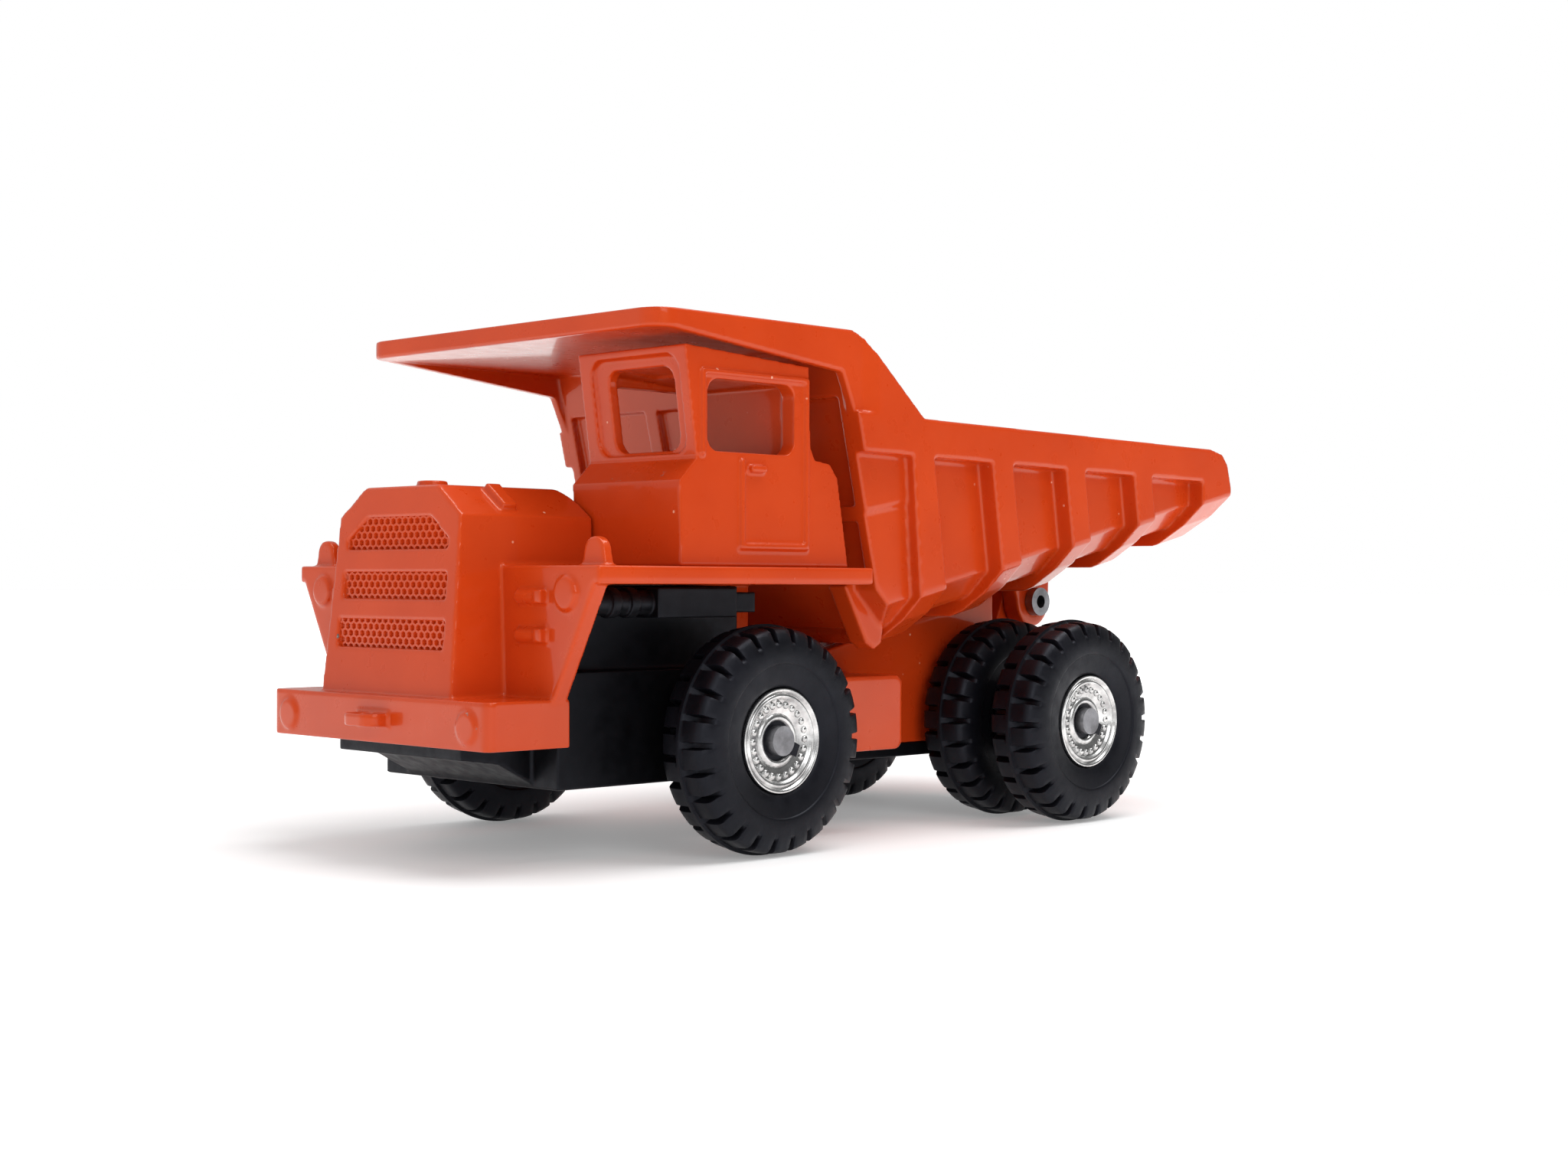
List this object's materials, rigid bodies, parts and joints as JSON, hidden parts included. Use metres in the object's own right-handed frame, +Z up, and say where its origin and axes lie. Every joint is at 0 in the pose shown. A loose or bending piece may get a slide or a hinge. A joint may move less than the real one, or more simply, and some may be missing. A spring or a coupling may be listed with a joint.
{
  "type": "toy dump truck",
  "caption": "Pocket-size die-cast off-highway dump truck with a tipping bed, a canopy over a side-mounted cab, and rolling wheels with dual tyres at the rear.",
  "frame": {"origin": "on the ground under the middle of the truck, about halfway between the tow eye's tip and the bed's tail", "axes": "+X towards the truck's front, +Y towards its left side, where the cab is, +Z up"},
  "size_m": [0.0717, 0.0344, 0.0338],
  "materials": {
    "orange_paint": "glossy orange-red enamel on cast zinc, chipped to grey metal on a few edges",
    "black_plastic": "satin black moulded plastic",
    "tyre_plastic": "satin black, slightly grey on the tread",
    "plated_hub": "vacuum-plated bright silver, slightly cloudy",
    "steel": "dull grey steel"
  },
  "bodies": {
    "chassis": {"body_casting": "orange_paint", "cab_shell": "orange_paint", "base_plate": "black_plastic", "exhaust_muffler": "black_plastic", "base_rivet_front": "steel", "base_rivet_rear": "steel", "hinge_pin": "steel"},
    "bed": {"dump_bed": "orange_paint"},
    "front_wheels": {"front_axle": "steel", "front_tyre_left": "tyre_plastic", "front_tyre_right": "tyre_plastic", "front_hub_left": "plated_hub", "front_hub_right": "plated_hub"},
    "rear_wheels": {"rear_axle": "steel", "rear_tyre_outer_left": "tyre_plastic", "rear_tyre_inner_left": "tyre_plastic", "rear_tyre_outer_right": "tyre_plastic", "rear_tyre_inner_right": "tyre_plastic", "rear_hub_left": "plated_hub", "rear_hub_right": "plated_hub", "rear_spacer_left": "black_plastic", "rear_spacer_right": "black_plastic"}
  },
  "joints": [
    {"name": "bed_tip", "type": "hinge", "parent": "chassis", "child": "bed", "pos_m": [-0.0227, 0, 0.0159], "axis": [0, -1, 0], "range_deg": [0, 50]},
    {"name": "front_axle_spin", "type": "hinge", "parent": "chassis", "child": "front_wheels", "pos_m": [0.01455, 0, 0.00735], "axis": [0, 1, 0], "continuous": true},
    {"name": "rear_axle_spin", "type": "hinge", "parent": "chassis", "child": "rear_wheels", "pos_m": [-0.01525, 0, 0.00735], "axis": [0, 1, 0], "continuous": true}
  ]
}
